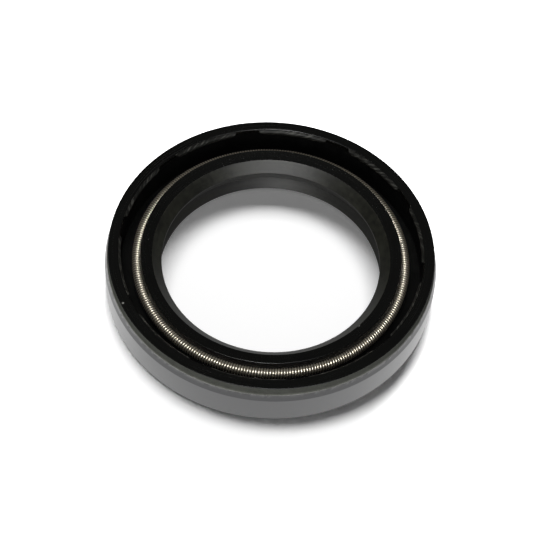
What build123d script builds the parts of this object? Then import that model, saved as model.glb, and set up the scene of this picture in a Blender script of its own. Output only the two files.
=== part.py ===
from build123d import *

import math
import os

# Radial shaft seal, double-lip, rubber covered, for a 35 mm shaft in a 52 mm housing.
# Z is the shaft's axis. The back (air side) face lies on Z = 0 and the spring (oil side) faces up.
# Lengths are in millimetres, angles in degrees. Sections are drawn as (radius, height) on the XZ plane.

# ---- Fits
SHAFT_DIAMETER = 35.0
RADIAL_SECTION = 8.5  # from the shaft to the housing
SEAL_WIDTH = 8.0

# ---- Outer cover, measured down from the rim
RIM_OUTER_BEVEL = 0.06
NECK_HEIGHT = 1.65
NECK_DRAFT = 0.20  # the neck draws in by this much on its way up to the rim
LEAD_IN_HEIGHT = 1.10  # bevel that guides the seal into the housing
LEAD_IN_DEPTH = 0.33
BACK_CHAMFER = 0.25  # breaks the edge of the back face

# ---- Steel case: a pressed L-section ring
COVER_THICKNESS = 1.25  # rubber between the case and the housing
CASE_THICKNESS = 0.90
CASE_BEND_RADIUS = 0.50  # inside the bend
FLANGE_CLEARANCE = 2.80  # from the shaft to the flange's bore, on the radius
BACK_COVER = 1.00  # rubber under the case's flange
RIM_COVER = 0.80  # rubber over the case's free end

# ---- Rubber inside the case
FLOOR_SKIN = 0.50  # rubber over the flange
LINING_THICKNESS = 0.38  # the rim's inner edge is bevelled by as much
LINING_DEPTH = 1.00  # the lining stops this far below the rim

# ---- Mould notches: the tool's ten centring pads leave gaps in the lining
NOTCH_COUNT = 10
NOTCH_START = 30.6
NOTCH_TOP_WIDTH = 3.4
NOTCH_BOTTOM_WIDTH = 5.6
OVERCUT = 1.0  # how far a cutter runs past what it cuts

# ---- Sealing lip
LIP_INTERFERENCE = 0.35  # on the radius, before the lip is stretched over the shaft
LIP_EDGE_HEIGHT = 4.87  # middle of the sealing edge, above the back face
LIP_EDGE_LAND = 0.20  # trimmed width of the sealing edge
OIL_FACE_RISE = 1.59  # cone from the sealing edge up to the nose
OIL_FACE_RUN = 1.47
NOSE_TOP_RISE = 0.35  # the nose's top climbs outward
NOSE_TOP_RUN = 1.73

# ---- Spring groove and the flexible web below it
SPRING_OFFSET = 3.70  # spring ring outside the sealing edge, on the radius
SPRING_LIFT = 0.23  # spring ring above the sealing edge
GROOVE_CLEARANCE = 0.03
LEDGE_THICKNESS = 0.32  # rubber that holds the spring from below
LEDGE_SETBACK = 0.20  # the ledge's edge stops this far inside the spring ring
LEDGE_SLOPE_DROP = 0.37  # the ledge's underside falls towards the web
WEB_THICKNESS = 1.45
WEB_FOOT_RUN = 1.00

# ---- Dust lip and back face
DUST_LIP_CLEARANCE = 0.10  # on the radius, around the shaft
DUST_LIP_HEIGHT = 0.40
DUST_TIP_RUN = 0.20  # the blunt tip slopes outward and down by these two
DUST_TIP_DROP = 0.22
DUST_LIP_THICKNESS = 0.80  # at its root, on the radius
VALLEY_HEIGHT = 2.50  # deepest point between the two lips
VALLEY_DEPTH = 0.60  # outward of the dust lip's edge
BACK_RECESS_DEPTH = 1.30  # lets the dust lip flex
BACK_FACE_CLEARANCE = 2.50  # from the shaft to the back face, on the radius

# ---- Garter spring: a close-wound coil closed into a ring
COIL_DIAMETER = 1.95
WIRE_DIAMETER = 0.40
TURN_GAP = 0.023  # the turns lie a hair apart round the outside
TURN_VALLEY = 0.14  # depth between neighbouring turns
COIL_SIDES = 6  # facets round one turn

# ---- Places that follow from the sizes above
shaft_radius = SHAFT_DIAMETER / 2
cover_radius = shaft_radius + RADIAL_SECTION
lead_in_top = SEAL_WIDTH - NECK_HEIGHT
land_top = lead_in_top - LEAD_IN_HEIGHT
neck_radius = cover_radius - LEAD_IN_DEPTH
rim_radius = neck_radius - NECK_DRAFT

case_outer_radius = cover_radius - COVER_THICKNESS
case_inner_radius = case_outer_radius - CASE_THICKNESS
case_flange_radius = shaft_radius + FLANGE_CLEARANCE
case_top = SEAL_WIDTH - RIM_COVER
flange_top = BACK_COVER + CASE_THICKNESS

lining_radius = case_inner_radius - LINING_THICKNESS
lining_bottom = SEAL_WIDTH - LINING_DEPTH
rim_bevel_bottom = SEAL_WIDTH - LINING_THICKNESS
floor_height = flange_top + FLOOR_SKIN

lip_edge_radius = shaft_radius - LIP_INTERFERENCE
lip_edge_bottom = LIP_EDGE_HEIGHT - LIP_EDGE_LAND / 2
lip_edge_top = LIP_EDGE_HEIGHT + LIP_EDGE_LAND / 2
nose_inner_radius = lip_edge_radius + OIL_FACE_RUN
nose_inner_height = lip_edge_top + OIL_FACE_RISE
nose_outer_radius = nose_inner_radius + NOSE_TOP_RUN
nose_outer_height = nose_inner_height + NOSE_TOP_RISE

spring_ring_radius = lip_edge_radius + SPRING_OFFSET
spring_height = LIP_EDGE_HEIGHT + SPRING_LIFT
groove_radius = COIL_DIAMETER / 2 + GROOVE_CLEARANCE
ledge_radius = spring_ring_radius - LEDGE_SETBACK
ledge_bottom = spring_height - groove_radius - LEDGE_THICKNESS

dust_edge_radius = shaft_radius + DUST_LIP_CLEARANCE
valley_radius = dust_edge_radius + VALLEY_DEPTH
dust_tip_radius = dust_edge_radius + DUST_TIP_RUN
dust_tip_height = DUST_LIP_HEIGHT - DUST_TIP_DROP
dust_root_radius = valley_radius + DUST_LIP_THICKNESS
back_face_radius = shaft_radius + BACK_FACE_CLEARANCE
web_outer_radius = valley_radius + WEB_THICKNESS
web_top = ledge_bottom - LEDGE_SLOPE_DROP
web_foot_radius = web_outer_radius + WEB_FOOT_RUN

os.makedirs("parts", exist_ok=True)

# ---- Section of the steel case, shared by the case and the room for it in the rubber
with BuildSketch(Plane.XZ) as case_section:
    with BuildLine():
        FilletPolyline(
            (case_flange_radius, BACK_COVER),
            (case_outer_radius, BACK_COVER),
            (case_outer_radius, case_top),
            (case_inner_radius, case_top),
            (case_inner_radius, flange_top),
            (case_flange_radius, flange_top),
            radius=[0, CASE_BEND_RADIUS + CASE_THICKNESS, 0, 0, CASE_BEND_RADIUS, 0],
            close=True,
        )
    make_face()

with BuildPart() as steel_case:
    add(case_section.sketch)
    revolve(axis=Axis.Z)

steel_case.part.label = "steel_case"
export_step(steel_case.part, "parts/steel_case.step")

# ---- Cutter for one mould notch: a trapezoid, wider at its foot, on the lining's inner wall
with BuildPart() as notch_cutter:
    with BuildSketch(Plane.YZ.offset(lining_radius - OVERCUT)):
        with BuildLine():
            Polyline(
                (-NOTCH_BOTTOM_WIDTH / 2, lining_bottom - OVERCUT),
                (NOTCH_BOTTOM_WIDTH / 2, lining_bottom - OVERCUT),
                (NOTCH_BOTTOM_WIDTH / 2, lining_bottom),
                (NOTCH_TOP_WIDTH / 2, SEAL_WIDTH),
                (NOTCH_TOP_WIDTH / 2, SEAL_WIDTH + OVERCUT),
                (-NOTCH_TOP_WIDTH / 2, SEAL_WIDTH + OVERCUT),
                (-NOTCH_TOP_WIDTH / 2, SEAL_WIDTH),
                (-NOTCH_BOTTOM_WIDTH / 2, lining_bottom),
                close=True,
            )
        make_face()
    extrude(amount=LINING_THICKNESS + 2 * OVERCUT)
    Cylinder(case_inner_radius, 2 * (SEAL_WIDTH + 2 * OVERCUT), mode=Mode.INTERSECT)

# ---- One moulding: cover, rim, lining, floor, web, sealing lip and dust lip
with BuildPart() as rubber_body:
    with BuildSketch(Plane.XZ):
        with BuildLine():
            Polyline(
                # cover
                (cover_radius - BACK_CHAMFER, 0),
                (cover_radius, BACK_CHAMFER),
                (cover_radius, land_top),
                (neck_radius, lead_in_top),
                (rim_radius, SEAL_WIDTH - RIM_OUTER_BEVEL),
                (rim_radius - RIM_OUTER_BEVEL, SEAL_WIDTH),
                # rim, lining and the case's bare inner wall
                (case_inner_radius, SEAL_WIDTH),
                (lining_radius, rim_bevel_bottom),
                (lining_radius, lining_bottom),
                (case_inner_radius, lining_bottom),
                (case_inner_radius, floor_height),
                # floor, web and ledge
                (web_foot_radius, floor_height),
                (web_outer_radius, web_top),
                (ledge_radius, ledge_bottom),
                (ledge_radius, spring_height),
                # nose and sealing edge
                (nose_outer_radius, nose_outer_height),
                (nose_inner_radius, nose_inner_height),
                (lip_edge_radius, lip_edge_top),
                (lip_edge_radius, lip_edge_bottom),
                # valley, dust lip and back face
                (valley_radius, VALLEY_HEIGHT),
                (dust_edge_radius, DUST_LIP_HEIGHT),
                (dust_tip_radius, dust_tip_height),
                (dust_root_radius, BACK_RECESS_DEPTH),
                (back_face_radius, 0),
                close=True,
            )
        make_face()
        with Locations((spring_ring_radius, spring_height)):
            Circle(groove_radius, mode=Mode.SUBTRACT)
    revolve(axis=Axis.Z)
    add(steel_case.part, mode=Mode.SUBTRACT)
    with PolarLocations(0, NOTCH_COUNT, start_angle=NOTCH_START):
        add(notch_cutter.part, mode=Mode.SUBTRACT)

rubber_body.part.label = "rubber_body"
export_step(rubber_body.part, "parts/rubber_body.step")

# ---- Garter spring: crest and valley run side by side round the ring as two closed helices
coil_turns = round(2 * math.pi * spring_ring_radius / (WIRE_DIAMETER + TURN_GAP))
crest_radius = COIL_DIAMETER / 2
valley_coil_radius = crest_radius - TURN_VALLEY
coil_steps = coil_turns * COIL_SIDES


def coil_point(step, coil_radius, turn_lag):
    """Return the point of a toroidal helix at a step, lagging by a share of a turn."""
    roll = 2 * math.pi * step / COIL_SIDES
    azimuth = 2 * math.pi * (step / COIL_SIDES + turn_lag) / coil_turns
    reach = spring_ring_radius + coil_radius * math.cos(roll)
    height = spring_height + coil_radius * math.sin(roll)
    return (reach * math.cos(azimuth), reach * math.sin(azimuth), height)


def facet_pair(first, second, third, fourth):
    """Return the two triangles that close a slightly twisted four-sided patch."""
    return [
        Face(Wire.make_polygon([first, second, third], close=True)),
        Face(Wire.make_polygon([first, third, fourth], close=True)),
    ]


crest = [coil_point(step, crest_radius, 0) for step in range(coil_steps)]
valley = [coil_point(step, valley_coil_radius, 0.5) for step in range(coil_steps)]
coil_facets = []
for step in range(coil_steps):
    ahead = (step + 1) % coil_steps
    next_turn = (step + COIL_SIDES) % coil_steps
    next_ahead = (ahead + COIL_SIDES) % coil_steps
    coil_facets += facet_pair(crest[step], crest[ahead], valley[ahead], valley[step])
    coil_facets += facet_pair(valley[step], valley[ahead], crest[next_ahead], crest[next_turn])

with BuildPart() as garter_spring:
    add(Solid(Shell(coil_facets)))

garter_spring.part.label = "garter_spring"
export_step(garter_spring.part, "parts/garter_spring.step")
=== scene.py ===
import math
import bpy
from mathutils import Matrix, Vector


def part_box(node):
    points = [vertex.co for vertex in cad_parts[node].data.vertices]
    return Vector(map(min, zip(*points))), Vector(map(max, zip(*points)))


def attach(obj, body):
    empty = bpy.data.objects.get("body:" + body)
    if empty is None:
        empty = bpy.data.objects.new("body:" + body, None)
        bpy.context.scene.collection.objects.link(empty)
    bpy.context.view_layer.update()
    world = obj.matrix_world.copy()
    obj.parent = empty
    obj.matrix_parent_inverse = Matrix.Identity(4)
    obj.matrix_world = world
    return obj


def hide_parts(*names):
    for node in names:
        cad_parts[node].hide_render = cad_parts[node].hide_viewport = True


bl_info = {
    "name": "Radial Shaft Seal",
    "version": (1, 0, 0),
    "blender": (4, 5, 0),
    "location": "View3D > Sidebar > Shaft Seal",
    "description": "Dresses a radial shaft seal: rubber moulding, lining, steel case and garter spring",
    "category": "Add Mesh",
}

import bpy
import numpy as np
from bpy.props import FloatProperty, FloatVectorProperty, IntProperty, PointerProperty
from mathutils import Matrix, Vector

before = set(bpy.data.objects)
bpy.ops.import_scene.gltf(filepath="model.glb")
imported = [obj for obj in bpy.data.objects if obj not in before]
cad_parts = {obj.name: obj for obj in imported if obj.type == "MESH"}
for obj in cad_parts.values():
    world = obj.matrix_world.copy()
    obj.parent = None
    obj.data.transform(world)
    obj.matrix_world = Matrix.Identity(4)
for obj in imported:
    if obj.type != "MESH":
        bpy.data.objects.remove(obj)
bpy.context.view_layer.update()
SEAL_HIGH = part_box("rubber_body")[1]
CASE_LOW, CASE_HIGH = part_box("steel_case")
COIL_LOW, COIL_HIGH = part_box("garter_spring")
COIL_RADIUS = (COIL_HIGH.z - COIL_LOW.z) / 2
MM = 0.001
IMAGE_SIDE = 540
SPECK_TINT = (0.16, 0.16, 0.15)
CASE_PLATE = 0.90 * MM
CASE_BORE = 20.3 * MM
CASE_WALL = CASE_HIGH.x - CASE_PLATE
CASE_OUTER_BEND = 1.40 * MM
CASE_INNER_BEND = CASE_OUTER_BEND - CASE_PLATE
ROUNDING_STEP = math.radians(18)
SHARP_ANGLE = math.radians(34)
LINING_SHARP_ANGLE = math.radians(40)
GROOVE_STEPS = 18
# The trimmed neck: how far it draws in and how high it lies over the lead-in bevel, in millimetres, and the
# finish above each point.
NECK_PROFILE = (
    (0.0, -0.03, "ridge"),
    (0.0, 0.0, "ridge"),
    (0.030, 0.07, "ridge"),
    (0.055, 0.16, "flare"),
    (0.085, 0.42, "neck"),
    (0.105, 0.70, "neck"),
    (0.135, 1.10, "neck"),
)
SOCKETS = {"Geometry": "NodeSocketGeometry", "Vector": "NodeSocketVector", "Material": "NodeSocketMaterial"}


def length(name, description, default):
    """A size in metres that shows in the scene's own unit."""
    return FloatProperty(name=name, description=description, default=default, unit="LENGTH", precision=5)


def share(name, description, default):
    """A plain factor."""
    return FloatProperty(name=name, description=description, default=default, min=0.0, precision=3)


def angle(name, description, degrees):
    """An angle, given in degrees and stored in radians."""
    return FloatProperty(name=name, description=description, default=math.radians(degrees), unit="ROTATION")


def colour(name, description, default):
    """A linear colour."""
    return FloatVectorProperty(
        name=name, description=description, default=default, size=3, subtype="COLOR", min=0.0, max=1.0
    )


# --- sizes and finishes


class ShaftSealMoulding(bpy.types.PropertyGroup):
    """Sizes of the rubber moulding."""

    cover_radius: length("Cover Radius", "Outside radius that is pressed into the housing", SEAL_HIGH.x)
    seal_width: length("Width", "Height of the seal along the shaft", SEAL_HIGH.z)
    foot_chamfer: length("Foot Chamfer", "Chamfer between the back face and the cover", 0.25 * MM)
    neck_height: length("Neck Height", "From the rim down to the lead-in bevel", 1.65 * MM)
    lead_in_height: length("Lead-in Height", "Height of the bevel that guides the seal in", 1.10 * MM)
    lead_in_depth: length("Lead-in Depth", "How far the lead-in bevel draws in", 0.33 * MM)
    neck_draft: length("Neck Draft", "How far the neck draws in towards the rim", 0.20 * MM)
    rim_bevel: length("Rim Bevel", "Bevel on the rim's outer edge", 0.06 * MM)
    rim_edge_round: length("Rim Edge Round", "Rounding of the rim's inner edge", 0.13 * MM)
    parting_ridge: length("Parting Ridge", "Height of the flash where the mould halves meet", 0.045 * MM)
    back_bore: length("Back Bore", "Radius of the back face's inner edge", 20.00 * MM)
    web_height: length("Web Height", "Height of the web between the case and the lip", 2.40 * MM)
    groove_gap: length("Groove Gap", "Play between the spring and its groove", 0.03 * MM)
    nose_radius: length("Nose Radius", "Radius of the lip's nose on the spring's side", 20.35 * MM)
    nose_height: length("Nose Height", "Height of the lip's nose on the spring's side", 6.91 * MM)
    edge_radius: length("Edge Radius", "Free radius of the sealing edge", 17.15 * MM)
    edge_height: length("Edge Height", "Height of the sealing edge", 4.87 * MM)
    edge_width: length("Edge Width", "Width of the sealing edge's flat", 0.20 * MM)
    nose_round: length("Nose Round", "Rounding of the lip's nose", 0.07 * MM)
    segments: IntProperty(name="Segments", description="Steps round the ring", default=384, min=96, max=720)


class ShaftSealPads(bpy.types.PropertyGroup):
    """Sizes of the lining patches that the mould's centring pads leave between them."""

    count: IntProperty(name="Count", description="Number of lining patches", default=10, min=3, max=24)
    first_gap: angle("First Gap", "Azimuth of the first gap between two patches", 30.6)
    gap_top: length("Gap Top", "Width of a gap at the rim", 3.4 * MM)
    gap_bottom: length("Gap Bottom", "Width of a gap at the lining's lower edge", 5.6 * MM)
    thickness: length("Thickness", "Thickness of the lining", 0.38 * MM)
    drop: length("Drop", "From the rim's face down to the lining's top", 0.09 * MM)
    depth: length("Depth", "Height of the lining", 0.91 * MM)
    sunk: length("Sunk", "How far the lining's back lies inside the wall", 0.004 * MM)
    flash: length("Flash", "How uneven the lower edge is", 0.20 * MM)
    seed: IntProperty(name="Seed", description="Choice of uneven edges", default=4)


class ShaftSealSpring(bpy.types.PropertyGroup):
    """Sizes of the garter spring."""

    coil_radius: length("Coil Radius", "Outside radius of the coil", COIL_RADIUS)
    ring_radius: length("Ring Radius", "Radius of the coil's centreline", COIL_HIGH.x - COIL_RADIUS)
    ring_height: length("Ring Height", "Height of the coil's centreline", (COIL_HIGH.z + COIL_LOW.z) / 2)
    wire_diameter: length("Wire Diameter", "Thickness of the spring wire", 0.40 * MM)
    turns: IntProperty(name="Turns", description="Turns round the whole ring", default=310, min=20, max=600)
    steps: IntProperty(name="Steps per Turn", description="Points along one turn", default=24, min=6, max=48)
    sides: IntProperty(name="Wire Sides", description="Facets round the wire", default=10, min=4, max=16)
    unevenness: share("Unevenness", "How far the turns stray, as a share of their pitch", 0.03)
    seed: IntProperty(name="Seed", description="Choice of uneven spacing", default=7)


class ShaftSealFinish(bpy.types.PropertyGroup):
    """Colours of the seal."""

    rim_rubber: colour("Rim Rubber", "Moulded rubber on the rim and the nose", (0.0019, 0.0020, 0.0017))
    cover_rubber: colour("Cover Rubber", "Rubber on the outside", (0.029, 0.030, 0.032))
    neck_rubber: colour("Neck Rubber", "Trimmed rubber on the neck", (0.110, 0.114, 0.100))
    # The ridge colour is torn flash, lightened to a pale grey as a painted highlight along the ridge.
    ridge_rubber_and_glint: colour("Ridge Rubber", "Torn flash on the parting ridge", (0.26, 0.26, 0.245))
    inside_rubber: colour("Inside Rubber", "Rubber round the spring", (0.0018, 0.0019, 0.0017))
    back_rubber: colour("Back Rubber", "Rubber of the back face", (0.012, 0.012, 0.012))
    lip_rubber: colour("Lip Rubber", "Rubber of the two lips", (0.0085, 0.0088, 0.0058))
    pad_rubber: colour("Pad Rubber", "Rubber of the lining patches", (0.014, 0.014, 0.0125))
    case_coat: colour("Case Coat", "Bonding coat on the steel case", (0.002, 0.002, 0.002))
    wire_steel: colour("Wire Steel", "Drawn spring wire", (0.86, 0.80, 0.68))
    # The film colour is an oil film's brown and painted shade, darker deep between the turns.
    wire_film_and_shade: colour("Wire Film", "Oil film between the turns", (0.20, 0.16, 0.09))


class ShaftSealStudio(bpy.types.PropertyGroup):
    """Camera and lamps."""

    distance: length("Camera Distance", "From the camera to the middle of the back face", 282.862 * MM)
    elevation: angle("Elevation", "Camera above the horizon", 55.362)
    pan: angle("Pan", "Turn of the camera to its right", -0.00625)
    tilt: angle("Tilt", "Turn of the camera upwards", 0.24247)
    roll: angle("Roll", "Turn of the camera about its own axis", 4.27322)
    focal: FloatProperty(name="Focal Length", description="In pixels of the rendered image", default=1775.062)
    front_strength: share("Front Lamp", "Radiance that the three front softboxes share", 10.0)
    back_strength: share("Back Lamp", "Radiance of the weak back softbox", 0.02)
    low_strength: share("Low Lamp", "Radiance of the low front softbox", 1.4)
    fill_light: share("Fill Light", "Light of the low front lamp, as on a level floor", 0.17535)
    key_light: share("Key Light", "Light of the lamps behind the seal, as on a level floor", 0.92)
    room_strength: share("Room", "Light that the room gives from all round", 0.08)
    room_gloss: share("Room Gloss", "Brightness of the room in reflections", 0.04)
    floor_glow: share("Floor Glow", "Brightness that the bore's floor keeps in full shadow", 0.12)


# --- node helpers


def put(tree, kind, inputs=None, **settings):
    """Add a node, set its options, and fill or link its inputs."""
    node = tree.nodes.new(kind)
    for key, value in settings.items():
        setattr(node, key, value)
    for key, value in (inputs or {}).items():
        socket = node.inputs[key]
        if isinstance(value, bpy.types.NodeSocket):
            tree.links.new(value, socket)
        else:
            socket.default_value = value
    return node


def made(tree, kind, inputs=None, **settings):
    """Add a node and return its first output."""
    return put(tree, kind, inputs, **settings).outputs[0]


def calc(tree, operation, *values):
    """Add a Math node and return its result."""
    return made(tree, "ShaderNodeMath", dict(enumerate(values)), operation=operation)


def new_group(kind, name, inputs, outputs):
    """Start a node group. Its inputs are given by label, with a number for each that isn't in SOCKETS."""
    group = bpy.data.node_groups.new(name, kind)
    for label, default in inputs.items():
        number = "NodeSocketInt" if isinstance(default, int) else "NodeSocketFloat"
        socket = group.interface.new_socket(label, in_out="INPUT", socket_type=SOCKETS.get(label, number))
        if label not in SOCKETS:
            socket.default_value = default
    for label in outputs:
        socket_type = SOCKETS.get(label, "NodeSocketFloat")
        group.interface.new_socket(label, in_out="OUTPUT", socket_type=socket_type)
    return group, group.nodes.new("NodeGroupInput"), group.nodes.new("NodeGroupOutput")


def use_group(tree, name, maker, inputs):
    """Place a shader node group, which its maker builds on first use, and return its outputs."""
    group = bpy.data.node_groups.get(name) or maker(name)
    return put(tree, "ShaderNodeGroup", inputs, node_tree=group).outputs


def noise(tree, vector, scale, detail, **inputs):
    """Add a Noise Texture, in four dimensions where W is given, and return its value."""
    settings = {"noise_dimensions": "4D"} if "W" in inputs else {}
    values = {"Vector": vector, "Scale": scale, "Detail": detail, **inputs}
    return made(tree, "ShaderNodeTexNoise", values, **settings)


def join(tree, x, y=0.0, z=0.0):
    """Join three values into a vector."""
    return made(tree, "ShaderNodeCombineXYZ", {0: x, 1: y, 2: z})


def round_axis(tree, radius, azimuth, height):
    """The place at a radius and an azimuth round the axis, and at a height."""
    x = calc(tree, "MULTIPLY", radius, calc(tree, "COSINE", azimuth))
    y = calc(tree, "MULTIPLY", radius, calc(tree, "SINE", azimuth))
    return join(tree, x, y, height)


def split_round(tree, place):
    """Split a place into its radius round the axis, its height, and the vector of its other two values."""
    parts = put(tree, "ShaderNodeSeparateXYZ", {0: place}).outputs
    flat = join(tree, parts[0], parts[1])
    radius = put(tree, "ShaderNodeVectorMath", {0: flat}, operation="LENGTH").outputs["Value"]
    return radius, parts[2], flat


def spread_range(tree, value, low, high, from_low=0.3, from_high=0.7, curve="LINEAR"):
    """Map a value, such as a noise's, onto a range."""
    inputs = {0: value, 1: from_low, 2: from_high, 3: low, 4: high}
    return made(tree, "ShaderNodeMapRange", inputs, interpolation_type=curve)


# --- shared surface groups


def grain_group(name):
    """Fine and broad unevenness of a moulded or trimmed surface."""
    inputs = {"Vector": None, "Grains per Metre": 4000.0}
    group, given, result = new_group("ShaderNodeTree", name, inputs, ["Fine", "Broad"])
    place, grains = given.outputs[:2]
    fine = noise(group, place, grains, 3.0, Roughness=0.6)
    broad = noise(group, place, calc(group, "MULTIPLY", grains, 0.11), 2.0, Distortion=0.4)
    group.links.new(fine, result.inputs[0])
    group.links.new(broad, result.inputs[1])
    return group


def streak_group(name):
    """Long marks that run round the ring, as a turned mould leaves them."""
    inputs = {"Vector": None, "Streaks per Metre": 9000.0, "Marks Round": 3.0}
    group, given, result = new_group("ShaderNodeTree", name, inputs, ["Value"])
    place, streaks, rounds = given.outputs[:3]
    radius, height, flat = split_round(group, place)
    facing = made(group, "ShaderNodeVectorMath", {0: flat}, operation="NORMALIZE")
    spread = made(group, "ShaderNodeVectorMath", {0: facing, "Scale": rounds}, operation="SCALE")
    turned = put(group, "ShaderNodeSeparateXYZ", {0: spread}).outputs
    spot = join(group, turned[0], turned[1], calc(group, "MULTIPLY", height, streaks))
    value = noise(group, spot, 1.0, 2.0, W=calc(group, "MULTIPLY", radius, streaks))
    group.links.new(value, result.inputs[0])
    return group


def speck_group(name):
    """Scattered pale specks of dust and talc."""
    inputs = {"Vector": None, "Specks per Metre": 900.0, "Size": 0.09}
    group, given, result = new_group("ShaderNodeTree", name, inputs, ["Mask"])
    place, specks, size = given.outputs[:3]
    cells = put(group, "ShaderNodeTexVoronoi", {"Vector": place, "Scale": specks}).outputs
    pick = put(group, "ShaderNodeSeparateColor", {0: cells["Color"]}).outputs
    wanted = calc(group, "GREATER_THAN", pick[0], 0.8)
    near = calc(group, "SUBTRACT", calc(group, "MULTIPLY", size, pick[1]), cells["Distance"])
    soft = calc(group, "MULTIPLY", near, 30.0)
    mask = put(group, "ShaderNodeMath", {0: soft, 1: wanted}, operation="MULTIPLY", use_clamp=True)
    group.links.new(mask.outputs[0], result.inputs[0])
    return group


def grain(tree, place, grains):
    """Place the moulding grain and return its fine and its broad value."""
    values = {"Vector": place, "Grains per Metre": grains}
    return use_group(tree, "Moulding Grain", grain_group, values)[:2]


# --- materials


def bare_tree(owner):
    """The node tree of a material or a world, with nothing in it."""
    owner.use_nodes = True
    owner.node_tree.nodes.clear()
    return owner.node_tree


def start_material(name):
    """A node material with its tree, which holds only its Object coordinates."""
    material = bpy.data.materials.new(name)
    tree = bare_tree(material)
    return material, tree, put(tree, "ShaderNodeTexCoord").outputs["Object"]


def blend_colour(tree, factor, first, second):
    """Mix two colours and return the result."""
    return put(tree, "ShaderNodeMix", {0: factor, 6: first, 7: second}, data_type="RGBA").outputs[2]


def shade(tint, strength=1.0):
    """A tint made darker or lighter, with its alpha."""
    return (*[part * strength for part in tint], 1.0)


def dress(tree, base, roughness, pattern=None, bump=0.0, specular=0.5, values=None):
    """End a material with its shader. The bump's height is in millimetres."""
    inputs = {"Base Color": base, "Roughness": roughness, "Specular IOR Level": specular, **(values or {})}
    if bump:
        inputs["Normal"] = made(tree, "ShaderNodeBump", {"Distance": bump * MM, "Height": pattern})
    shader = made(tree, "ShaderNodeBsdfPrincipled", inputs)
    put(tree, "ShaderNodeOutputMaterial", {"Surface": shader})


def rubber_finish(
    name, tint, roughness, grains, contrast, rough_change=0.08, bump=0.02, specular=0.5,
    coat=0.0, coat_roughness=0.25, streaks=None, streak_share=0.0, streak_rounds=3.0,
    speck_size=0.0, specks=0.0, drawn=0.0,
):
    """One finish of the rubber: grain, streaks round the ring, and pale specks."""
    material, tree, place = start_material(name)
    fine, broad = grain(tree, place, grains)
    pattern = calc(tree, "MULTIPLY_ADD", broad, 0.45, calc(tree, "MULTIPLY", fine, 0.55))
    if streaks:
        values = {"Vector": place, "Streaks per Metre": streaks, "Marks Round": streak_rounds}
        run = use_group(tree, "Turned Streaks", streak_group, values)[0]
        kept = calc(tree, "MULTIPLY", pattern, 1.0 - streak_share)
        pattern = calc(tree, "MULTIPLY_ADD", run, streak_share, kept)
    tone = spread_range(tree, pattern, 0.0, 1.0, 0.35, 0.65)
    base = blend_colour(tree, tone, shade(tint, 1.0 - contrast), shade(tint, 1.0 + contrast))
    if speck_size:
        values = {"Vector": place, "Specks per Metre": specks, "Size": speck_size}
        mask = use_group(tree, "Specks", speck_group, values)[0]
        base = blend_colour(tree, mask, base, shade(SPECK_TINT))
    dullness = spread_range(tree, pattern, roughness - rough_change, roughness + rough_change)
    values = {"Coat Weight": coat, "Coat Roughness": coat_roughness}
    if drawn:
        tangent = made(tree, "ShaderNodeTangent", direction_type="RADIAL", axis="Z")
        values |= {"Tangent": tangent, "Anisotropic": drawn, "Anisotropic Rotation": 0.25}
    dress(tree, base, dullness, pattern, bump, specular, values)
    return material


def lining_finish(tint):
    """Scuffed rubber of the lining: pale slanted drag marks left by the mould's pads."""
    material, tree, place = start_material("rubber_lining")
    lay = put(tree, "ShaderNodeAttribute", attribute_name="lay").outputs["Vector"]
    slant = {"Vector": lay, "Rotation": (0.0, 0.0, math.radians(24)), "Scale": (1.0, 1.0, 0.0)}
    slanted = made(tree, "ShaderNodeMapping", slant)
    drawn = made(tree, "ShaderNodeMapping", {"Vector": slanted, "Scale": (330.0, 4200.0, 1.0)})
    marks = noise(tree, drawn, 1.0, 2.0)
    broad = grain(tree, place, 5200.0)[1]
    drag = spread_range(tree, marks, 0.0, 1.0, 0.50, 0.66)
    worn = calc(tree, "MULTIPLY", drag, spread_range(tree, broad, 0.25, 1.0, 0.35, 0.6))
    base = blend_colour(tree, worn, shade(tint, 0.6), shade(tint, 5.0))
    dress(tree, base, spread_range(tree, worn, 0.38, 0.6, 0.0, 1.0), marks, 0.02, 0.2)
    return material


def case_finish(tint):
    """Bonding coat on pressed steel: nearly black, with faint drawing lines."""
    material, tree, place = start_material("case_coat")
    stretched = made(tree, "ShaderNodeMapping", {"Vector": place, "Scale": (5200.0, 5200.0, 260.0)})
    lines = noise(tree, stretched, 1.0, 3.0)
    broad = grain(tree, place, 2600.0)[1]
    pattern = calc(tree, "MULTIPLY_ADD", broad, 0.5, calc(tree, "MULTIPLY", lines, 0.5))
    tone = spread_range(tree, pattern, 0.0, 1.0, 0.35, 0.65)
    base = blend_colour(tree, tone, shade(tint, 0.6), shade(tint, 1.5))
    dress(tree, base, spread_range(tree, pattern, 0.38, 0.55), pattern, 0.012, 0.2)
    return material


def wire_finish(tints, spring):
    """Bright drawn wire, dark and brown between the turns from an oil film and painted shade."""
    material, tree, place = start_material("spring_wire")
    reach, height, _ = split_round(tree, place)
    out = calc(tree, "SUBTRACT", reach, spring.ring_radius)
    up = calc(tree, "SUBTRACT", height, spring.ring_height)
    squares = calc(tree, "ADD", calc(tree, "MULTIPLY", out, out), calc(tree, "MULTIPLY", up, up))
    # Deeper than the film depth the wire takes the film colour: an oil film and painted shade between the
    # turns.
    film_and_shade_depth, clear = (spring.coil_radius - part * spring.wire_diameter for part in (0.34, 0.03))
    crest = spread_range(tree, calc(tree, "SQRT", squares), 0.0, 1.0, film_and_shade_depth, clear)
    broad = grain(tree, place, 6000.0)[1]
    clean_and_unshaded = calc(tree, "MULTIPLY", crest, spread_range(tree, broad, 0.92, 1.0, 0.35, 0.55))
    base = blend_colour(tree, clean_and_unshaded, shade(tints.wire_film_and_shade), shade(tints.wire_steel))
    metal = spread_range(tree, clean_and_unshaded, 0.72, 0.97, 0.0, 1.0)
    dress(tree, base, spread_range(tree, clean_and_unshaded, 0.40, 0.30, 0.0, 1.0), values={"Metallic": metal})
    return material


# --- turned forms


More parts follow.
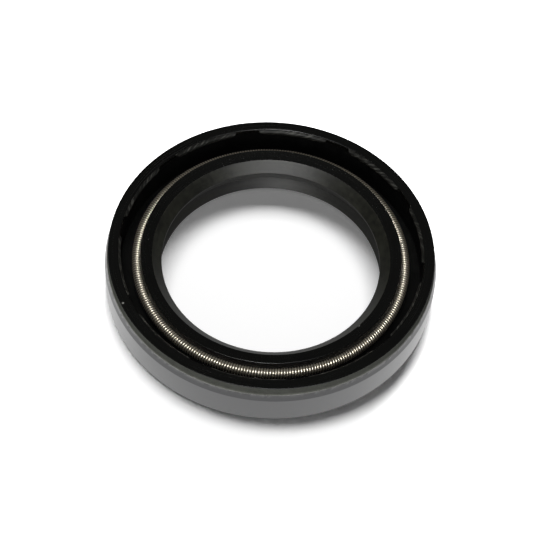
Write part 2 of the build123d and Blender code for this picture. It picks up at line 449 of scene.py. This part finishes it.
class Section:
    """A closed section of a turned form, as points (radius, height) and the finish of each edge."""

    def __init__(self):
        self.points = []
        self.finishes = []

    def add(self, radius, height, finish):
        """Add a point and the finish of the edge that leaves it."""
        self.points.append((radius, height))
        self.finishes.append(finish)

    def corners(self, corners):
        """Add rounded corners, each as (radius, height, rounding, finish of the edge that leaves it)."""
        count = len(corners)
        for index, (radius, height, rounding, finish) in enumerate(corners):
            before = Vector(corners[index - 1][:2])
            here = Vector((radius, height))
            after = Vector(corners[(index + 1) % count][:2])
            if rounding <= 0:
                self.add(radius, height, finish)
                continue
            back, ahead = (before - here).normalized(), (after - here).normalized()
            half = back.angle(ahead) / 2
            setback = rounding / math.tan(half)
            start, end = here + back * setback, here + ahead * setback
            centre = here + (back + ahead).normalized() * (rounding / math.sin(half))
            first = math.atan2(start.y - centre.y, start.x - centre.x)
            sweep = math.atan2(end.y - centre.y, end.x - centre.x) - first
            sweep = (sweep + math.pi) % (2 * math.pi) - math.pi
            steps = max(3, math.ceil(abs(sweep) / ROUNDING_STEP))
            for step in range(steps + 1):
                turn = first + sweep * step / steps
                self.add(centre.x + rounding * math.cos(turn), centre.y + rounding * math.sin(turn), finish)

    def refined(self, longest, margin):
        """Return points and finishes with long edges divided and each corner held by a close point."""
        points, finishes = [], []
        for index, (start, finish) in enumerate(zip(self.points, self.finishes)):
            a, b = Vector(start), Vector(self.points[(index + 1) % len(self.points)])
            points.append(tuple(a))
            finishes.append(finish)
            span = (b - a).length
            if span < 8 * margin:
                continue
            inner = max(1, math.ceil((span - 2 * margin) / longest))
            for step in range(inner + 1):
                along = margin + (span - 2 * margin) * step / inner
                points.append(tuple(a.lerp(b, along / span)))
                finishes.append(finish)
        return points, finishes


def turned_mesh(name, points, finishes, slots, segments, sway=None):
    """Turn a closed section about Z. sway(points, azimuth) may return moved points for one azimuth."""
    section = np.array(points)
    count = len(section)
    vertices = np.zeros((segments, count, 3))
    for step in range(segments):
        azimuth = 2 * math.pi * step / segments
        here = sway(section.copy(), azimuth) if sway else section
        vertices[step, :, 0] = here[:, 0] * math.cos(azimuth)
        vertices[step, :, 1] = here[:, 0] * math.sin(azimuth)
        vertices[step, :, 2] = here[:, 1]
    faces, indices = [], []
    for step in range(segments):
        first, second = step * count, (step + 1) % segments * count
        for k in range(count):
            after = (k + 1) % count
            faces.append((first + k, second + k, second + after, first + after))
            indices.append(slots[finishes[k]])
    mesh = bpy.data.meshes.new(name)
    mesh.from_pydata(vertices.reshape(-1, 3).tolist(), [], faces)
    mesh.polygons.foreach_set("material_index", indices)
    mesh.polygons.foreach_set("use_smooth", [True] * len(faces))
    mesh.update()
    face_outwards(mesh)
    mesh.set_sharp_from_angle(angle=SHARP_ANGLE)
    return mesh


def face_outwards(mesh):
    """Turn a closed mesh inside out if its faces point inwards, which makes its volume negative."""
    mesh.calc_loop_triangles()
    corners = np.zeros(len(mesh.vertices) * 3)
    mesh.vertices.foreach_get("co", corners)
    triangles = np.zeros(len(mesh.loop_triangles) * 3, int)
    mesh.loop_triangles.foreach_get("vertices", triangles)
    a, b, c = (corners.reshape(-1, 3)[triangles.reshape(-1, 3)[:, k]] for k in range(3))
    if (a * np.cross(b, c)).sum() < 0:
        mesh.flip_normals()


def link_piece(name, mesh, materials, slot, *stands_for):
    """Put a finished mesh into the scene as a piece of the seal."""
    piece = bpy.data.objects.new(name, mesh)
    bpy.context.scene.collection.objects.link(piece)
    for material in materials:
        mesh.materials.append(material)
    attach(piece, "root")
    if stands_for:
        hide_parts(*stands_for)
    return piece


def waves(azimuth, seed, rounds, count=7):
    """A smooth uneven value between about -1 and 1 that closes round the ring."""
    dice = np.random.default_rng(seed)
    total = 0.0
    for _ in range(count):
        total += math.sin(round(dice.uniform(0.5, 1.0) * rounds) * azimuth + dice.uniform(0, 2 * math.pi))
    return total / math.sqrt(count)


def case_corners(finish):
    """The pressed case's section, which is also the room that it takes in the rubber."""
    flange_top = CASE_LOW.z + CASE_PLATE
    return [
        (CASE_WALL, CASE_HIGH.z, 0.0, finish),
        (CASE_HIGH.x, CASE_HIGH.z, 0.0, finish),
        (CASE_HIGH.x, CASE_LOW.z, CASE_OUTER_BEND, finish),
        (CASE_BORE, CASE_LOW.z, 0.0, finish),
        (CASE_BORE, flange_top, 0.0, finish),
        (CASE_WALL, flange_top, CASE_INNER_BEND, finish),
    ]


def groove_mouth(centre, groove, foot, nose):
    """Where the nose's flank, from its foot up to the nose, leaves the spring groove's circle."""
    run, rise = nose[0] - foot[0], nose[1] - foot[1]
    out = foot[0] - centre[0]
    a, b, c = run**2 + rise**2, 2 * out * run, out**2 - groove**2
    share_up = (-b + math.sqrt(b * b - 4 * a * c)) / (2 * a)
    return foot[0] + share_up * run, foot[1] + share_up * rise


def moulding_finishes(tints):
    """The moulding's finishes, under the names that its section gives them."""
    trimmed = dict(roughness=0.85, specular=0.0, grains=5200, bump=0.03)
    dusty = dict(
        tint=tints.rim_rubber, roughness=0.26, rough_change=0.04, bump=0.006, specks=420, speck_size=0.10
    )
    lip = dict(tint=tints.lip_rubber, contrast=0.90)
    finishes = {
        "cover": dict(
            tint=tints.cover_rubber, roughness=0.36, grains=2600, contrast=0.2, rough_change=0.06, bump=0.006,
            coat=1.0, coat_roughness=0.28,
        ),
        # The ridge's pale tint is partly torn flash and partly a painted highlight.
        "ridge": dict(trimmed, tint=tints.ridge_rubber_and_glint, roughness=0.6, specular=0.2, contrast=0.3),
        # The flare band is the neck's tint made 1.45 times lighter, so the neck grows lighter towards the
        # ridge.
        "flare": dict(trimmed, tint=shade(tints.neck_rubber, 1.45)[:3], contrast=0.2),
        "neck": dict(trimmed, tint=tints.neck_rubber, contrast=0.16),
        "rim": dict(dusty, coat=0.15, grains=3000, contrast=0.3, streaks=5200, streak_share=0.55),
        "inside": dict(tint=tints.inside_rubber, roughness=0.5, specular=0.2, grains=3000, contrast=0.4),
        "nose": dict(dusty, coat=0.2, grains=3600, contrast=0.35, streaks=4200, streak_share=0.35),
        "oil_face": dict(
            lip, roughness=0.42, grains=1400, bump=0.070, coat=0.8, coat_roughness=0.30,
            streaks=3000, streak_share=0.25,
        ),
        "air_face": dict(
            lip, roughness=0.46, grains=4200, rough_change=0.12, specular=1.0,
            streaks=1500, streak_share=0.92, streak_rounds=1.2, drawn=0.9,
        ),
        "back": dict(tint=tints.back_rubber, roughness=0.45, grains=3000, contrast=0.3),
    }
    return {name: rubber_finish(f"rubber_{name}", **look) for name, look in finishes.items()}


def moulding_section(size, spring):
    """The moulding's section, from the back face up the cover, round the case and down the bore."""
    cover, width, chamfer = size.cover_radius, size.seal_width, size.foot_chamfer
    lead_top = width - size.neck_height
    neck = cover - size.lead_in_depth
    rim = neck - size.neck_draft
    centre = (spring.ring_radius, spring.ring_height)
    groove = spring.coil_radius + size.groove_gap
    ledge = (centre[0] - 0.20 * MM, centre[1] - groove - 0.32 * MM)
    lip_foot = (19.65 * MM, 3.405 * MM)
    section = Section()
    section.corners(
        [
            (size.back_bore, 0.0, 0.03 * MM, "back"),
            (cover - chamfer, 0.0, 0.0, "cover"),
            (cover, chamfer, 0.0, "cover"),
            (cover, lead_top - size.lead_in_height, 0.10 * MM, "cover"),
            *[(neck - inset * MM, lead_top + rise * MM, 0.0, finish) for inset, rise, finish in NECK_PROFILE],
            (rim, width - size.rim_bevel, 0.02 * MM, "rim"),
            (rim - size.rim_bevel, width, 0.02 * MM, "rim"),
            (CASE_WALL, width, size.rim_edge_round, "rim"),
            *case_corners("back"),
            (CASE_WALL, size.web_height, 0.10 * MM, "inside"),
            (lip_foot[0] + 1.00 * MM, size.web_height, 0.30 * MM, "inside"),
            (*lip_foot, 0.15 * MM, "inside"),
            (*ledge, 0.06 * MM, "inside"),
        ]
    )
    nose, nose_edge = (size.nose_radius, size.nose_height), (18.62 * MM, 6.56 * MM)
    mouth = groove_mouth(centre, groove, (ledge[0], centre[1]), nose)
    lower = -math.acos((ledge[0] - centre[0]) / groove)
    upper = math.atan2(mouth[1] - centre[1], mouth[0] - centre[0]) - 2 * math.pi
    for step in range(GROOVE_STEPS + 1):
        turn = lower + (upper - lower) * step / GROOVE_STEPS
        section.add(centre[0] + groove * math.cos(turn), centre[1] + groove * math.sin(turn), "inside")
    throat, recess = (18.20 * MM, 2.50 * MM), (19.00 * MM, 1.30 * MM)
    dust_face, dust_tip = (17.60 * MM, 0.40 * MM), (17.80 * MM, 0.18 * MM)
    lip = Section()
    lip.corners(
        [
            (*mouth, 0.0, "cover"),
            (*nose, size.nose_round, "nose"),
            (*nose_edge, size.nose_round, "oil_face"),
            (size.edge_radius, size.edge_height + size.edge_width / 2, 0.03 * MM, "oil_face"),
            (size.edge_radius, size.edge_height - size.edge_width / 2, 0.03 * MM, "air_face"),
            (*throat, 0.20 * MM, "air_face"),
            (*dust_face, 0.04 * MM, "air_face"),
            (*dust_tip, 0.04 * MM, "air_face"),
            (*recess, 0.12 * MM, "back"),
            (size.back_bore, 0.0, 0.0, "back"),
        ]
    )
    for point, finish in list(zip(lip.points, lip.finishes))[1:-1]:
        section.add(*point, finish)
    return section.refined(0.90 * MM, 0.03 * MM)


def uneven_edges(points, size):
    """How the moulding strays from a turned form: a torn ridge, and an uneven lip and rim edge."""
    radii, heights = np.array(points).T
    rise = heights - (size.seal_width - size.neck_height)
    neck = size.cover_radius - size.lead_in_depth
    ridge = (np.abs(rise) < 0.05 * MM) & (radii > neck - 0.1 * MM)
    crest = np.clip(1 - np.abs(rise + 0.01 * MM) / (0.05 * MM), 0, 1) * ridge
    lip = (radii < 20.6 * MM) & (heights > 5.9 * MM)
    rim_edge = (radii < CASE_WALL + 0.2 * MM) & (heights > CASE_HIGH.z + 0.1 * MM)

    def sway(here, azimuth):
        rough = 0.55 + 0.45 * waves(azimuth, 11, 90) + 0.25 * waves(azimuth, 12, 23)
        here[:, 0] += crest * size.parting_ridge * max(0.0, rough)
        here[lip, 1] += 0.012 * MM * waves(azimuth, 13, 14)
        here[rim_edge, 0] += 0.018 * MM * waves(azimuth, 14, 40)
        return here

    return sway


class SHAFTSEAL_OT_moulding(bpy.types.Operator):
    """Build the one-piece rubber moulding with its cover, rim, web, sealing lip and dust lip"""

    bl_idname = "shaft_seal.moulding"
    bl_label = "Rubber Moulding"

    def execute(self, context):
        size = context.scene.shaft_seal_moulding
        points, finishes = moulding_section(size, context.scene.shaft_seal_spring)
        looks = moulding_finishes(context.scene.shaft_seal_finish)
        slots = {name: index for index, name in enumerate(looks)}
        sway = uneven_edges(points, size)
        mesh = turned_mesh("moulding", points, finishes, slots, size.segments, sway)
        link_piece("rubber_moulding", mesh, looks.values(), "rubber", "rubber_body")
        return {"FINISHED"}


class SHAFTSEAL_OT_case(bpy.types.Operator):
    """Build the pressed steel case that stiffens the moulding and shows as its inner wall"""

    bl_idname = "shaft_seal.case"
    bl_label = "Steel Case"

    def execute(self, context):
        section = Section()
        section.corners(case_corners("coat"))
        points, finishes = section.refined(0.8 * MM, 0.03 * MM)
        segments = context.scene.shaft_seal_moulding.segments
        mesh = turned_mesh("case", points, finishes, {"coat": 0}, segments)
        coat = case_finish(context.scene.shaft_seal_finish.case_coat)
        link_piece("case_ring", mesh, [coat], "case_steel", "steel_case")
        return {"FINISHED"}


# --- repeated forms


def labelled(settings):
    """The values of a group of settings, under their labels."""
    items = settings.bl_rna.properties
    return {items[key].name: getattr(settings, key) for key in type(settings).__annotations__}


def start_tree(name, values):
    """Start a geometry tree with an input for each value."""
    return new_group("GeometryNodeTree", name, {"Geometry": None, **values}, ["Geometry"])


def end_tree(group, result, geometry, material):
    """End a geometry tree: smooth its shape, make it real and give it its material."""
    smooth = made(group, "GeometryNodeSetShadeSmooth", {"Geometry": geometry})
    real = made(group, "GeometryNodeRealizeInstances", {"Geometry": smooth})
    dressed = made(group, "GeometryNodeSetMaterial", {"Geometry": real, "Material": material})
    group.links.new(dressed, result.inputs[0])
    return group


def run_tree(group, values):
    """Run a geometry tree with the given inputs and return its shape as a plain mesh."""
    carrier = bpy.data.objects.new("carrier", bpy.data.meshes.new("carrier"))
    bpy.context.scene.collection.objects.link(carrier)
    modifier = carrier.modifiers.new("tree", "NODES")
    modifier.node_group = group
    for item in group.interface.items_tree:
        if item.item_type == "SOCKET" and item.in_out == "INPUT" and item.name in values:
            modifier[item.identifier] = values[item.name]
    graph = bpy.context.evaluated_depsgraph_get()
    mesh = bpy.data.meshes.new_from_object(carrier.evaluated_get(graph))
    carrier.modifiers.clear()
    bpy.data.objects.remove(carrier)
    face_outwards(mesh)
    mesh.materials.clear()
    return mesh


def coil_tree(values):
    """A wire wound into a closed ring of turns, whose spacing changes a little round the ring."""
    group, given, result = start_tree("Garter Coil", values)
    given, spacing_changes = given.outputs, 25.0
    total = calc(group, "MULTIPLY", given["Turns"], given["Steps per Turn"])
    line = made(group, "GeometryNodeMeshLine", {"Count": total})
    curve = made(group, "GeometryNodeMeshToCurve", {"Mesh": line})
    closed = made(group, "GeometryNodeSetSplineCyclic", {"Geometry": curve, "Cyclic": True})
    along = calc(group, "DIVIDE", made(group, "GeometryNodeInputIndex"), total)
    even = calc(group, "MULTIPLY", along, 2 * math.pi)
    roll = calc(group, "MULTIPLY", even, given["Turns"])
    beat = noise(group, round_axis(group, spacing_changes, even, 0.0), 1.0, 2.0, W=given["Seed"])
    stray = calc(group, "MULTIPLY", calc(group, "SUBTRACT", beat, 0.5), given["Unevenness"])
    pitch = calc(group, "DIVIDE", 2 * math.pi, given["Turns"])
    azimuth = calc(group, "MULTIPLY_ADD", calc(group, "MULTIPLY", stray, 2.0), pitch, even)
    wire = calc(group, "MULTIPLY", given["Wire Diameter"], 0.5)
    arm = calc(group, "SUBTRACT", given["Coil Radius"], wire)
    reach = calc(group, "MULTIPLY_ADD", arm, calc(group, "COSINE", roll), given["Ring Radius"])
    height = calc(group, "MULTIPLY_ADD", arm, calc(group, "SINE", roll), given["Ring Height"])
    place = round_axis(group, reach, azimuth, height)
    wound = made(group, "GeometryNodeSetPosition", {"Geometry": closed, "Position": place})
    facets = {"Resolution": given["Wire Sides"], "Radius": wire}
    profile = made(group, "GeometryNodeCurvePrimitiveCircle", facets)
    solid = made(group, "GeometryNodeCurveToMesh", {"Curve": wound, "Profile Curve": profile})
    return end_tree(group, result, solid, given["Material"])


class SHAFTSEAL_OT_spring(bpy.types.Operator):
    """Wind the garter spring, a close coil closed into a ring, in the groove behind the sealing lip"""

    bl_idname = "shaft_seal.spring"
    bl_label = "Garter Spring"

    def execute(self, context):
        size = context.scene.shaft_seal_spring
        wire = wire_finish(context.scene.shaft_seal_finish, size)
        values = {**labelled(size), "Material": wire}
        mesh = run_tree(coil_tree(values), values)
        link_piece("spring_coil", mesh, [wire], "spring_steel", "garter_spring")
        return {"FINISHED"}


def pad_tree(values):
    """Lining patches round the rim's inner wall, each a bent block with an uneven lower edge."""
    group, given, result = start_tree("Lining Patches", values)
    given, edge_waves, end_stray = given.outputs, 9.0, 0.05
    points = {"Vertices X": 61, "Vertices Y": 3, "Vertices Z": 17}
    block = made(group, "GeometryNodeMeshCube", points)
    row = made(group, "GeometryNodeMeshLine", {"Count": given["Count"], "Offset": (2.0, 0.0, 0.0)})
    blocks = made(group, "GeometryNodeInstanceOnPoints", {"Points": row, "Instance": block})
    real = made(group, "GeometryNodeRealizeInstances", {"Geometry": blocks})
    at = put(group, "ShaderNodeSeparateXYZ", {0: made(group, "GeometryNodeInputPosition")}).outputs
    number = calc(group, "ROUND", calc(group, "MULTIPLY", at[0], 0.5))
    across = calc(group, "SUBTRACT", at[0], calc(group, "MULTIPLY", number, 2.0))
    inward = calc(group, "ADD", at[1], 0.5)
    upward = calc(group, "ADD", at[2], 0.5)
    wall = calc(group, "ADD", given["Wall Radius"], given["Sunk"])
    pitch = calc(group, "DIVIDE", 2 * math.pi, given["Count"])
    gap = spread_range(group, upward, given["Gap Bottom"], given["Gap Top"], 0.0, 1.0)
    lot_place = join(group, number, given["Seed"], calc(group, "SIGN", across))
    lot = made(group, "ShaderNodeTexWhiteNoise", {"Vector": lot_place})
    arc = calc(group, "SUBTRACT", pitch, calc(group, "DIVIDE", gap, wall))
    arc = calc(group, "MULTIPLY_ADD", calc(group, "SUBTRACT", lot, 0.5), end_stray, arc)
    middle = calc(group, "MULTIPLY_ADD", calc(group, "ADD", number, 0.5), pitch, given["First Gap"])
    azimuth = calc(group, "MULTIPLY_ADD", across, arc, middle)
    spot = join(group, calc(group, "MULTIPLY", at[0], edge_waves), given["Seed"])
    ragged = calc(group, "SUBTRACT", noise(group, spot, 1.0, 4.0, Roughness=0.62), 0.5)
    lift = calc(group, "MULTIPLY", calc(group, "MULTIPLY", ragged, given["Flash"]), 2.4)
    top = calc(group, "SUBTRACT", given["Rim Height"], given["Drop"])
    height = spread_range(group, upward, calc(group, "SUBTRACT", top, given["Depth"]), top, 0.0, 1.0)
    height = calc(group, "MULTIPLY_ADD", calc(group, "SUBTRACT", 1.0, upward), lift, height)
    foot = spread_range(group, upward, 0.6, 1.0, 0.0, 0.16, "SMOOTHSTEP")
    head = spread_range(group, upward, 1.0, 0.1, 0.5, 1.0, "SMOOTHSTEP")
    swell = calc(group, "MULTIPLY", given["Thickness"], calc(group, "MULTIPLY", foot, head))
    radius = calc(group, "SUBTRACT", wall, calc(group, "MULTIPLY", inward, swell))
    lay = join(group, calc(group, "MULTIPLY", azimuth, wall), height, upward)
    stored = {"Geometry": real, "Name": "lay", "Value": lay}
    mapped = made(group, "GeometryNodeStoreNamedAttribute", stored, data_type="FLOAT_VECTOR")
    place = round_axis(group, radius, azimuth, height)
    bent = made(group, "GeometryNodeSetPosition", {"Geometry": mapped, "Position": place})
    return end_tree(group, result, bent, given["Material"])


class SHAFTSEAL_OT_pads(bpy.types.Operator):
    """Line the rim with the rubber patches that lie between the mould's centring pads"""

    bl_idname = "shaft_seal.pads"
    bl_label = "Lining Patches"

    def execute(self, context):
        scene = context.scene
        rubber = lining_finish(scene.shaft_seal_finish.pad_rubber)
        around = {"Wall Radius": CASE_WALL, "Rim Height": scene.shaft_seal_moulding.seal_width}
        values = {**labelled(scene.shaft_seal_pads), **around, "Material": rubber}
        mesh = run_tree(pad_tree(values), values)
        mesh.set_sharp_from_angle(angle=LINING_SHARP_ANGLE)
        link_piece("lining_patches", mesh, [rubber], "rubber", "rubber_body")
        return {"FINISHED"}


# --- stage


def softbox(name, azimuth, elevation, distance, width, height, radiance, diffuse=True, gloss=True):
    """A rectangular lamp that faces the seal. Its radiance is 1 for white."""
    data = bpy.data.lights.new(name, "AREA")
    data.shape = "RECTANGLE"
    data.size, data.size_y = width, height
    data.energy = radiance * math.pi * width * height
    lamp = bpy.data.objects.new(name, data)
    bpy.context.scene.collection.objects.link(lamp)
    a, e = math.radians(azimuth), math.radians(elevation)
    place = Vector((math.cos(a) * math.cos(e), math.sin(a) * math.cos(e), math.sin(e))) * distance
    lamp.location = place
    lamp.rotation_mode = "QUATERNION"
    lamp.rotation_quaternion = (-place).to_track_quat("-Z", "Y")
    lamp.visible_camera = False
    lamp.visible_diffuse = diffuse
    lamp.visible_glossy = gloss
    return lamp


def light_only(lamp, name, pieces, state):
    """Link a lamp's light to the given floor pieces, or keep it off them."""
    receivers = bpy.data.collections.new(name)
    for piece in pieces:
        receivers.objects.link(piece)
    lamp.light_linking.receiver_collection = receivers
    for entry in receivers.collection_objects:
        entry.light_linking.link_state = state


def look_path(tree):
    """What kind of ray meets a point, and 1 where the camera sees it."""
    path = put(tree, "ShaderNodeLightPath").outputs
    return path, calc(tree, "MAXIMUM", path["Is Camera Ray"], path["Is Transmission Ray"])


def mix_shaders(tree, factor, first, second):
    """Mix two shaders and return the result."""
    return made(tree, "ShaderNodeMixShader", {0: factor, 1: first, 2: second})


def floor_material(name, glow, in_gloss):
    """A pale floor that keeps the seal's shadow and shows white where it is fully lit."""
    material = bpy.data.materials.new(name)
    tree = bare_tree(material)
    path, seen = look_path(tree)
    matt = made(tree, "ShaderNodeBsdfDiffuse", {"Color": (0.20, 0.20, 0.20, 1.0)})
    lit = made(tree, "ShaderNodeBsdfDiffuse", {"Color": (0.98, 0.98, 0.98, 1.0)})
    faint = made(tree, "ShaderNodeEmission", {"Strength": glow})
    white = made(tree, "ShaderNodeAddShader", {0: lit, 1: faint})
    mirrored = made(tree, "ShaderNodeEmission", {"Strength": in_gloss})
    above = mix_shaders(tree, path["Is Glossy Ray"], mix_shaders(tree, seen, matt, white), mirrored)
    below = put(tree, "ShaderNodeNewGeometry").outputs["Backfacing"]
    clear = made(tree, "ShaderNodeBsdfTransparent")
    put(tree, "ShaderNodeOutputMaterial", {"Surface": mix_shaders(tree, below, above, clear)})
    return material


def floor_piece(name, outline, height, material):
    """A flat piece of floor."""
    mesh = bpy.data.meshes.new(name)
    mesh.from_pydata([(x, y, height) for x, y in outline], [], [tuple(range(len(outline)))])
    mesh.materials.append(material)
    piece = bpy.data.objects.new(name, mesh)
    bpy.context.scene.collection.objects.link(piece)
    return piece


def lay_floor(studio):
    """Lay the floor, and over it the disc of floor that shows through the bore, dim in reflections as a
    painted shadow.
    """
    reach, radius, sides = 3.0, 19.5 * MM, 64
    square = [(-reach, -reach), (reach, -reach), (reach, reach), (-reach, reach)]
    turns = [2 * math.pi * step / sides for step in range(sides)]
    disc = [(radius * math.cos(turn), radius * math.sin(turn)) for turn in turns]
    outside = floor_material("pale_floor", glow=0.01, in_gloss=0.95)
    # In reflections the bore's floor shows a fixed dim brightness, a painted shadow of the lip over it.
    inside = floor_material("bore_floor", glow=studio.floor_glow, in_gloss=0.22)
    floor = floor_piece("floor", square, -0.04 * MM, outside)
    return floor, floor_piece("floor_in_bore", disc, -0.02 * MM, inside)


def hang_lamps(studio, floor, middle):
    """Hang the softboxes that show in the gloss, and the lamps whose light falls on rubber and floor."""
    front, key = studio.front_strength, studio.key_light
    for name, azimuth, elevation, away, wide, high, radiance in (
        ("left_softbox", 222, 64, 0.50, 0.08, 0.20, 0.30 * front),
        ("right_softbox", 318, 64, 0.50, 0.08, 0.20, 0.14 * front),
        ("high_softbox", 268, 64, 0.50, 0.09, 0.24, 2.00 * front),
        ("back_softbox", 95, 50, 0.60, 0.30, 0.22, studio.back_strength),
        ("low_softbox", 272, 32, 0.60, 0.70, 0.30, studio.low_strength),
    ):
        softbox(name, azimuth, elevation, away, wide, high, radiance, diffuse=False)
    away = 0.60
    for name, azimuth, elevation, wide, high, light, pieces, state in (
        ("fill_softbox", 268, 26, 0.30, 0.30, studio.fill_light, [floor, middle], "EXCLUDE"),
        ("key_outside", 123, 75, 0.25, 0.155, 1.12 * key, [middle], "EXCLUDE"),
        ("key_flank", 81, 40, 0.31, 0.19, 1.60 * key, [floor], "INCLUDE"),
        ("key_in_bore", 91, 51, 0.46, 0.22, 1.03 * key, [middle], "INCLUDE"),
    ):
        radiance = light * math.pi * away**2 / (wide * high) / math.sin(math.radians(elevation))
        lamp = softbox(name, azimuth, elevation, away, wide, high, radiance, gloss=False)
        light_only(lamp, name + "_receivers", pieces, state)


def room(scene, strength, gloss):
    """A dim room that shows white to the camera."""
    scene.world = bpy.data.worlds.new("room")
    tree = bare_tree(scene.world)
    path, seen = look_path(tree)
    levels = {0: path["Is Glossy Ray"], 2: strength, 3: gloss}
    level = made(tree, "ShaderNodeMix", levels)
    shown = made(tree, "ShaderNodeMix", {0: seen, 2: level, 3: 1.0})
    back = made(tree, "ShaderNodeBackground", {"Strength": shown})
    put(tree, "ShaderNodeOutputWorld", {"Surface": back})


def camera_place(studio):
    """The camera's matrix from its distance, elevation, pan, tilt and roll."""
    e = studio.elevation
    place = Vector((0.0, -math.cos(e), math.sin(e))) * studio.distance
    ahead = -place.normalized()
    right = Vector((1.0, 0.0, 0.0))
    up = right.cross(ahead)
    ahead = (ahead + math.tan(studio.pan) * right + math.tan(studio.tilt) * up).normalized()
    right = ahead.cross(Vector((0.0, 0.0, 1.0))).normalized()
    up = right.cross(ahead)
    turned_right = math.cos(studio.roll) * right + math.sin(studio.roll) * up
    turned_up = -math.sin(studio.roll) * right + math.cos(studio.roll) * up
    matrix = Matrix((turned_right, turned_up, -ahead)).transposed().to_4x4()
    matrix.translation = place
    return matrix


def set_camera(scene, studio):
    """Put up the camera."""
    data = bpy.data.cameras.new("camera")
    data.sensor_width = 36.0
    data.lens = studio.focal / IMAGE_SIDE * data.sensor_width
    data.clip_start, data.clip_end = 0.01, 20.0
    camera = bpy.data.objects.new("camera", data)
    scene.collection.objects.link(camera)
    camera.matrix_world = camera_place(studio)
    scene.camera = camera


class SHAFTSEAL_OT_studio(bpy.types.Operator):
    """Lay the floor and set the lamps, the room and the camera"""

    bl_idname = "shaft_seal.studio"
    bl_label = "Studio"

    def execute(self, context):
        scene, studio = context.scene, context.scene.shaft_seal_studio
        hang_lamps(studio, *lay_floor(studio))
        room(scene, studio.room_strength, studio.room_gloss)
        set_camera(scene, studio)
        scene.view_settings.view_transform = "Standard"
        return {"FINISHED"}


class SHAFTSEAL_PT_panel(bpy.types.Panel):
    """Steps and sizes of the shaft seal"""

    bl_idname = "SHAFTSEAL_PT_panel"
    bl_label = "Shaft Seal"
    bl_space_type = "VIEW_3D"
    bl_region_type = "UI"
    bl_category = "Shaft Seal"

    def draw(self, context):
        layout = self.layout
        for operator in OPERATORS:
            layout.operator(operator.bl_idname)
        for name, settings in SETTINGS.items():
            box = layout.box()
            box.label(text=settings.__doc__)
            group = getattr(context.scene, name)
            for key in settings.__annotations__:
                box.prop(group, key)


SETTINGS = {
    "shaft_seal_moulding": ShaftSealMoulding,
    "shaft_seal_pads": ShaftSealPads,
    "shaft_seal_spring": ShaftSealSpring,
    "shaft_seal_finish": ShaftSealFinish,
    "shaft_seal_studio": ShaftSealStudio,
}
OPERATORS = [
    SHAFTSEAL_OT_moulding,
    SHAFTSEAL_OT_pads,
    SHAFTSEAL_OT_case,
    SHAFTSEAL_OT_spring,
    SHAFTSEAL_OT_studio,
]


def register():
    """Register the settings, the operators and the panel."""
    for name, settings in SETTINGS.items():
        bpy.utils.register_class(settings)
        setattr(bpy.types.Scene, name, PointerProperty(type=settings))
    for operator in OPERATORS:
        bpy.utils.register_class(operator)
    bpy.utils.register_class(SHAFTSEAL_PT_panel)


def unregister():
    """Take the panel, the operators and the settings away again."""
    bpy.utils.unregister_class(SHAFTSEAL_PT_panel)
    for operator in reversed(OPERATORS):
        bpy.utils.unregister_class(operator)
    for name, settings in SETTINGS.items():
        delattr(bpy.types.Scene, name)
        bpy.utils.unregister_class(settings)


def main():
    register()
    bpy.ops.shaft_seal.moulding()
    bpy.ops.shaft_seal.pads()
    bpy.ops.shaft_seal.case()
    bpy.ops.shaft_seal.spring()
    bpy.ops.shaft_seal.studio()


if __name__ == "__main__":
    main()
